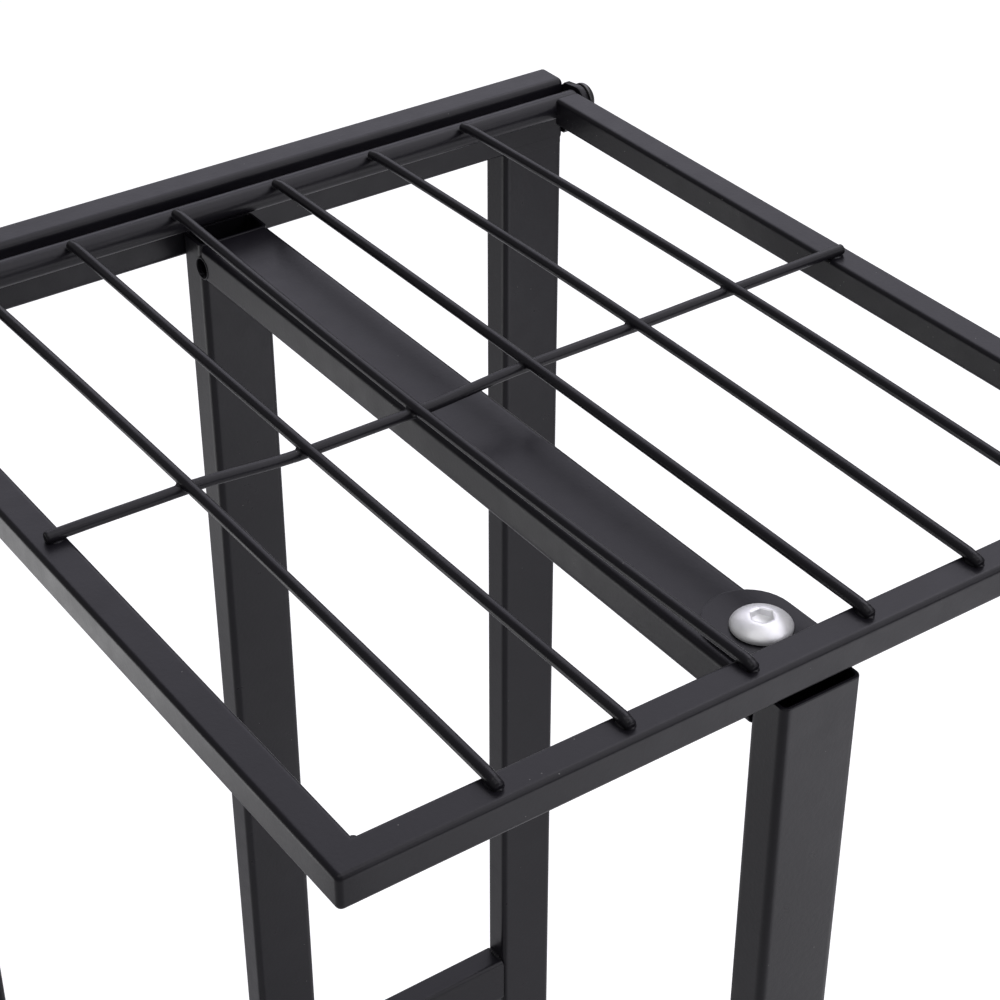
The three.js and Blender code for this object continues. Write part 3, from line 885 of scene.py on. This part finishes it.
def shelf_frame():
    """The shelf's three rails as one welded and ground U, open towards the hinge rod."""
    left = SHELF_LEFT_LOW.x + SHELF_TUBE
    right = SHELF_RIGHT_HIGH.x - SHELF_TUBE
    rear = ROD_LOW.y + SHELF_INTO_ROD
    front = SHELF_FRONT_LOW.y + SHELF_TUBE
    rear_left, rear_right = Vector((left, rear, SHELF_Z)), Vector((right, rear, SHELF_Z))
    inner_left, inner_right = Vector((left, front, SHELF_Z)), Vector((right, front, SHELF_Z))
    rings = [rail_section(rear_left, WEST), rail_section(inner_left + NORTH, WEST)]
    rings += rail_corner(inner_left, WEST, SOUTH)
    rings += [rail_section(inner_left + EAST, SOUTH), rail_section(inner_right + WEST, SOUTH)]
    rings += rail_corner(inner_right, SOUTH, EAST)
    rings += [rail_section(inner_right + NORTH, EAST), rail_section(rear_right, EAST)]
    fillets = [corner_fillet(inner_left, 1), corner_fillet(inner_right, -1)]
    return coated("shelf_frame", merged([loft(rings), *fillets]), "shelf", "shelf_left_rail",
                  "shelf_front_rail", "shelf_right_rail")


def hinge_rod():
    """The round rod that the shelf turns on, with broken edges."""
    middle = (ROD_LOW + ROD_HIGH) / 2
    path = [Vector((ROD_LOW.x + share * (ROD_HIGH.x - ROD_LOW.x), middle.y, middle.z))
            for share in (0, 0.02, 0.5, 0.98, 1)]
    return coated("hinge_rod_bar", round_bar(path, ROD_R, 0.6, 40), "shelf", "hinge_rod")


def plate_part(outline, low, high, soft=0.3):
    """A flat plate between two heights from a rounded outline of (x, y), edges softened."""
    centre = Vector((sum(p[0] for p in outline) / len(outline),
                     sum(p[1] for p in outline) / len(outline)))

    def ring(inset, z):
        points = []
        for p in outline:
            away = Vector(p) - centre
            points.append((*(centre + away * (1 - inset / away.length)), z))
        return points

    return loft([ring(soft + 0.4, low), ring(soft, low), ring(soft * 0.3, low + soft * 0.3),
                 ring(0, low + soft), ring(0, high - soft), ring(soft * 0.3, high - soft * 0.3),
                 ring(soft, high), ring(soft + 0.4, high)])


def shelf_tab():
    """The tab under the front rail, with its round end and the lock bolt's hole."""
    low, high = box_mm("shelf_tab")
    half = (high.x - low.x) / 2
    x = (low.x + high.x) / 2
    outline = [(x - half, low.y), (x, low.y), (x + half, low.y), (x + half, (low.y + high.y) / 2)]
    steps = 20
    for k in range(steps + 1):
        angle = math.pi * k / steps
        outline.append((x + half * math.cos(angle), high.y - half + half * math.sin(angle)))
    outline.append((x - half, (low.y + high.y) / 2))
    tab = coated("shelf_tab_plate", plate_part(outline, low.z, high.z, 0.25), "shelf", "shelf_tab")
    bolt_low, bolt_high = box_mm("lock_bolt")
    return cut(tab, cylinder_cutter(TAB_HOLE_R, 60, "Z", (bolt_low + bolt_high) / 2))


# ---- fasteners ----------------------------------------------------------------------------------

def button_head(radius, tall, socket_flats, socket_deep, crown=2.0):
    """Rings of a domed head with a hexagon socket, from its seat at z = 0 to the socket's floor.

    A crown of 2 is a round dome and a lower one a flatter dome.
    """
    rim = tall * 0.22
    socket = hexagon(socket_flats)
    mouth = socket_flats / math.sqrt(3) * 1.1
    rings = [circle(radius - 0.25, 0), circle(radius, 0.25), circle(radius, rim)]
    steps = 10
    for k in range(1, steps + 1):
        across = radius + (mouth - radius) * (k / steps) ** 1.3
        share = (radius - across) / (radius - mouth)
        rings.append(circle(across, rim + (tall - rim) * (1 - (1 - share) ** crown) ** (1 / crown)))
    floor = tall - socket_deep
    rings.append(circle(mouth, tall))
    rings.append(circle(mouth, tall - 0.15, shape=hexagon(socket_flats + 0.3)))
    rings.append(circle(mouth, tall - 0.3, shape=socket))
    rings.append(circle(mouth, floor, shape=socket))
    rings.append(circle(socket_flats * 0.2, floor - socket_flats * 0.1))
    return rings


def threaded_shank(radius, length, plain, pitch):
    """Rings of a threaded shank, from its tip at z = -length up to z = 0."""
    per_turn = 8
    count = int((length - plain) / pitch * per_turn)
    depth = 0.28 * pitch
    rings = [circle(radius - 1.1, -length)]
    for i in range(count + 1):
        z = -length + 0.8 + i * pitch / per_turn
        if z > -plain:
            break
        ring = []
        for k in range(ROUND):
            turn = k / ROUND
            phase = (z / pitch - turn) % 1
            r = radius - depth * abs(2 * phase - 1)
            fade = min(1, (z + length) / (1.5 * pitch))
            r -= (1 - fade) * 0.5
            angle = 2 * math.pi * turn
            ring.append((r * math.cos(angle), r * math.sin(angle), z))
        rings.append(ring)
    rings.append(circle(radius, -plain))
    rings.append(circle(radius, -0.02))
    return rings


def bolt(name, node, material, slot, body, seat, way, head, shank_r, socket, pitch=0.8, crown=2.0):
    """A button-head bolt; seat is the middle of its bearing face and way turns +Z to its head."""
    radius, tall = head
    low, high = box_mm(node)
    reach = max(high[i] - low[i] for i in range(3))
    shank = max(reach - tall, 3)
    rings = threaded_shank(shank_r, shank, shank * 0.15, pitch)
    rings += button_head(radius, tall, socket, tall * 0.55, crown)
    part = placed(loft(rings), Matrix.Translation(seat) @ way)
    return finish_piece(mesh_object(name, *part), material, body, slot, node)


def lock_bolt():
    low, high = box_mm("lock_bolt")
    seat = Vector(((low.x + high.x) / 2, (low.y + high.y) / 2, high.z - LOCK_HEAD_TALL))
    radius = (high.x - low.x) / 2
    return bolt("lock_bolt_zinc", "lock_bolt", ZINC, "zinc", "shelf", seat, Matrix.Identity(4),
                (radius, LOCK_HEAD_LOW), LOCK_SHANK_R, LOCK_BOLT_HEX, LOCK_PITCH, LOCK_CROWN)


def hinge_bolts():
    for side, sign in (("left", -1), ("right", 1)):
        low, high = box_mm(f"hinge_bolt_{side}")
        outer = high.x if sign > 0 else low.x
        seat = Vector((outer - sign * HINGE_HEAD_TALL, (low.y + high.y) / 2, (low.z + high.z) / 2))
        radius = (high.z - low.z) / 2
        bolt(f"hinge_bolt_{side}_black", f"hinge_bolt_{side}", BLACK, "black_oxide", "shelf", seat,
             along_x(sign), (radius, HINGE_HEAD_TALL), HINGE_SHANK_R, HINGE_BOLT_HEX)


def joint_bolts():
    toward_back = Matrix.Rotation(-math.pi / 2, 4, "X")
    for level in ("mid", "bottom"):
        low, high = box_mm(f"joint_bolt_{level}")
        seat = Vector(((low.x + high.x) / 2, high.y - JOINT_HEAD_TALL, (low.z + high.z) / 2))
        radius = (high.z - low.z) / 2
        bolt(f"joint_bolt_{level}_black", f"joint_bolt_{level}", BLACK, "black_oxide", "rack", seat,
             toward_back, (radius, JOINT_HEAD_TALL), JOINT_SHANK_R, JOINT_BOLT_HEX)


def nut_part(flats, tall, bore):
    """A chamfered hexagon nut on +Z from 0, with a threaded bore."""
    shape = hexagon(flats)
    wide = flats / math.sqrt(3)
    rings = [circle(bore + 0.6, 0), circle(flats / 2 * 0.97, 0), circle(wide * 0.97, 0.35, shape=shape),
             circle(wide * 1.1, 0.8, shape=shape), circle(wide * 1.1, tall - 0.8, shape=shape),
             circle(wide * 0.97, tall - 0.35, shape=shape), circle(flats / 2 * 0.97, tall),
             circle(bore + 0.6, tall)]
    steps = 24
    for k in range(steps + 1):
        wave = 0.18 * math.cos(2 * math.pi * k / 4)
        rings.append(circle(bore + wave, tall - 0.5 - (tall - 1.0) * k / steps))
    return loft(rings, closed=True)


def lock_nut():
    low, high = box_mm("lock_nut")
    part = nut_part(high.y - low.y, high.z - low.z, NUT_BORE_R)
    at = Matrix.Translation(((low.x + high.x) / 2, (low.y + high.y) / 2, low.z))
    return finish_piece(mesh_object("lock_nut_zinc", *placed(part, at)), ZINC, "rack", "zinc",
                        "lock_nut")


def joint_nuts():
    """These sit inside the centre rear post, so the plain nuts only take the zinc finish."""
    for level in ("mid", "bottom"):
        node = frame["nodes"][f"joint_nut_{level}"]
        node.data.materials.clear()
        node.data.materials.append(ZINC)


# ---- lugs, feet and caps ------------------------------------------------------------------------

def lug_outline(low, high, pivot):
    """The (y, z) outline of a lug: a tall back, a sloping top and a round nose about the pivot."""
    nose = pivot.x - low.y
    outline = [(high.y, low.z), (high.y, low.z + LUG_BACK_TALL / 2), (high.y, low.z + LUG_BACK_TALL),
               (RAIL_LOW.y, high.z - LUG_NECK)]
    steps = 14
    top = math.pi / 2
    for k in range(steps + 1):
        angle = top + (LUG_NOSE_END - top) * k / steps
        outline.append((pivot.x + nose * math.cos(angle), pivot.y + nose * math.sin(angle)))
    outline += [(RAIL_LOW.y, low.z), (RAIL_LOW.y + 6, low.z)]
    return outline


def hinge_lugs():
    """A plate over each end of the rear rail, reaching forward round the hinge bolt."""
    pivot = Vector(((ROD_LOW.y + ROD_HIGH.y) / 2, (ROD_LOW.z + ROD_HIGH.z) / 2))
    upright = Matrix(((0, 0, 1, 0), (1, 0, 0, 0), (0, 1, 0, 0), (0, 0, 0, 1)))
    for side in ("left", "right"):
        low, high = box_mm(f"hinge_lug_{side}")
        part = placed(plate_part(lug_outline(low, high, pivot), low.x, high.x, 0.35), upright)
        lug = coated(f"hinge_lug_{side}_plate", part, "rack", f"hinge_lug_{side}")
        centre = ((low.x + high.x) / 2, pivot.x, pivot.y)
        cut(lug, cylinder_cutter(LUG_HOLE_R, 12, "X", centre))


def pad_part(low, high, pad, up):
    """A moulded pad with a plug; up is +1 for a foot and -1 for a cap over a leg's top."""
    wide, deep = high.x - low.x, high.y - low.y
    middle = (low + high) / 2
    base = low.z if up > 0 else high.z
    soft = PAD_SOFTNESS

    def ring(inset, z, corner=FRAME_CORNER):
        outline = rounded_rect(wide - 2 * inset, deep - 2 * inset, corner - inset)
        return [(middle.x + p.x, middle.y + p.y, base + up * z) for p in outline]

    tall = high.z - low.z
    plug = FRAME_WALL + SEAM
    rings = [ring(soft + 0.5, 0), ring(soft, 0), ring(soft * 0.3, soft * 0.3), ring(0, soft),
             ring(0, pad - 0.3), ring(0.3, pad), ring(plug, pad, PLUG_CORNER),
             ring(plug, tall - 1, PLUG_CORNER), ring(plug + 0.8, tall, PLUG_CORNER)]
    return loft(rings)


def feet_and_caps():
    feet = ("rear_left", "rear_right", "centre", "front", "front_left", "front_right")
    pads = [(f"foot_{name}", FOOT_PAD, 1) for name in feet]
    pads += [(f"leg_cap_{side}", CAP_PAD, -1) for side in ("left", "right")]
    for node, pad, up in pads:
        part = pad_part(*box_mm(node), pad, up)
        finish_piece(mesh_object(f"{node}_pad", *part), PLASTIC, "rack", "plastic", node)


# ---- welds of the frame -------------------------------------------------------------------------

def butt_welds(node, axis, across, seed):
    """Short beads over and under a tube's two ends, running along the across axis."""
    low, high = box_mm(node)
    along = "XYZ".index(axis)
    run = "XYZ".index(across)
    third = 3 - along - run
    parts = []
    for end in (low, high):
        for face in (low, high):
            start = Vector((0, 0, 0))
            start[along] = end[along]
            start[third] = face[third]
            finish = start.copy()
            start[run] = low[run] + FRAME_CORNER
            finish[run] = high[run] - FRAME_CORNER
            parts.append(bead(start, finish, WELD_R, seed + len(parts)))
    return parts


def frame_welds():
    rear = butt_welds("rear_mid_rail", "X", "Y", 100) + butt_welds("rear_bottom_rail", "X", "Y", 110)
    for sign, side in ((-1, "left"), (1, "right")):
        low, high = box_mm(f"rear_post_{side}")
        x = high.x if sign < 0 else low.x
        rear.append(bead((x, low.y + FRAME_CORNER, RAIL_LOW.z), (x, high.y - FRAME_CORNER, RAIL_LOW.z),
                         WELD_R, 120 + sign))
    coated("rear_frame_welds", merged(rear), "rack")
    centre = []
    for node, seed in (("top_beam", 130), ("bottom_beam", 140)):
        low, high = box_mm(node)
        for y in (low.y, high.y):
            centre.append(bead((low.x + FRAME_CORNER, y, low.z), (high.x - FRAME_CORNER, y, low.z),
                               WELD_R, seed + y))
    coated("centre_frame_welds", merged(centre), "rack")
    base = []
    for side in ("left", "right"):
        base += butt_welds(f"base_side_{side}", "Y", "X", 150)
        base += butt_welds(f"base_front_{side}", "X", "Y", 160)
    coated("base_frame_welds", merged(base), "rack")


# ---- stage --------------------------------------------------------------------------------------

def floor():
    """A plain white floor that looks bright but throws little of its own light on the object."""
    mesh = bpy.data.meshes.new("floor")
    half = FLOOR_HALF
    mesh.from_pydata([(-half, -half, 0), (half, -half, 0), (half, half, 0), (-half, half, 0)], [],
                     [(0, 1, 2, 3)])
    obj = bpy.data.objects.new("floor", mesh)
    bpy.context.scene.collection.objects.link(obj)
    material, shader = new_material("floor_white", 0.9, 0.0, 0.0)
    shader.inputs["Base Color"].default_value = (0.9, 0.9, 0.9, 1)
    shader.inputs["Emission Color"].default_value = (1, 1, 1, 1)
    tree = material.node_tree
    glow = tree.nodes.new("ShaderNodeMapRange")
    glow.inputs["To Min"].default_value = FLOOR_GLOW[0]
    glow.inputs["To Max"].default_value = FLOOR_GLOW[1]
    rays = tree.nodes.new("ShaderNodeLightPath")
    tree.links.new(rays.outputs["Is Camera Ray"], glow.inputs["Value"])
    tree.links.new(glow.outputs["Result"], shader.inputs["Emission Strength"])
    mesh.materials.append(material)


def softbox(name, at, target, size, radiance, colour):
    """A soft panel, level side first in size, with its power set from its face's brightness."""
    data = bpy.data.lights.new(name, "AREA")
    data.shape = "RECTANGLE"
    data.size, data.size_y = size
    data.energy = math.pi * radiance * size[0] * size[1]
    data.color = colour
    obj = bpy.data.objects.new(name, data)
    bpy.context.scene.collection.objects.link(obj)
    obj.visible_camera = False
    obj.location = at
    obj.rotation_euler = (Vector(target) - Vector(at)).to_track_quat("-Z", "Y").to_euler()


def world():
    """A white backdrop to the eye that lights the object only a little."""
    sky = bpy.data.worlds.new("studio")
    sky.use_nodes = True
    tree = sky.node_tree
    glow = tree.nodes["Background"]
    glow.inputs["Color"].default_value = (1, 1, 1, 1)
    glow.inputs["Strength"].default_value = SKY_GLOW
    white = tree.nodes.new("ShaderNodeBackground")
    white.inputs["Color"].default_value = (1, 1, 1, 1)
    white.inputs["Strength"].default_value = 1.0
    rays = tree.nodes.new("ShaderNodeLightPath")
    either = tree.nodes.new("ShaderNodeMixShader")
    tree.links.new(rays.outputs["Is Camera Ray"], either.inputs[0])
    tree.links.new(glow.outputs["Background"], either.inputs[1])
    tree.links.new(white.outputs["Background"], either.inputs[2])
    tree.links.new(either.outputs["Shader"], tree.nodes["World Output"].inputs["Surface"])
    bpy.context.scene.world = sky


def camera():
    """The photograph's view: from the front left, above, on the shelf and the upper frame."""
    data = bpy.data.cameras.new("camera")
    data.lens = LENS
    data.sensor_width = SENSOR
    obj = bpy.data.objects.new("camera", data)
    bpy.context.scene.collection.objects.link(obj)
    edge = Vector(((RAIL_LOW.x + RAIL_HIGH.x) / 2, RAIL_LOW.y, RAIL_HIGH.z))
    obj.location = (edge + Vector(EYE_FROM_RAIL)) * MM
    obj.rotation_euler = (math.radians(90 - CAMERA_PITCH), 0, math.radians(-CAMERA_YAW))
    bpy.context.scene.camera = obj


def stage():
    """The floor, backdrop and lights, with plain colours."""
    floor()
    world()
    low, high = CAD_BOUNDS
    top = Vector(((low.x + high.x) / 2, (low.y + high.y) / 2, high.z))
    for name, away, size, radiance, colour in SOFTBOXES:
        softbox(name, top + Vector(away), top, size, radiance, colour)
    bpy.context.scene.view_settings.view_transform = "Standard"


rear_frame()
centre_frame()
base_frame()
base_wires()
shelf_frame()
hinge_rod()
shelf_wires()
shelf_tab()
lock_bolt()
hinge_bolts()
joint_bolts()
lock_nut()
joint_nuts()
hinge_lugs()
feet_and_caps()
frame_welds()
stage()
camera()
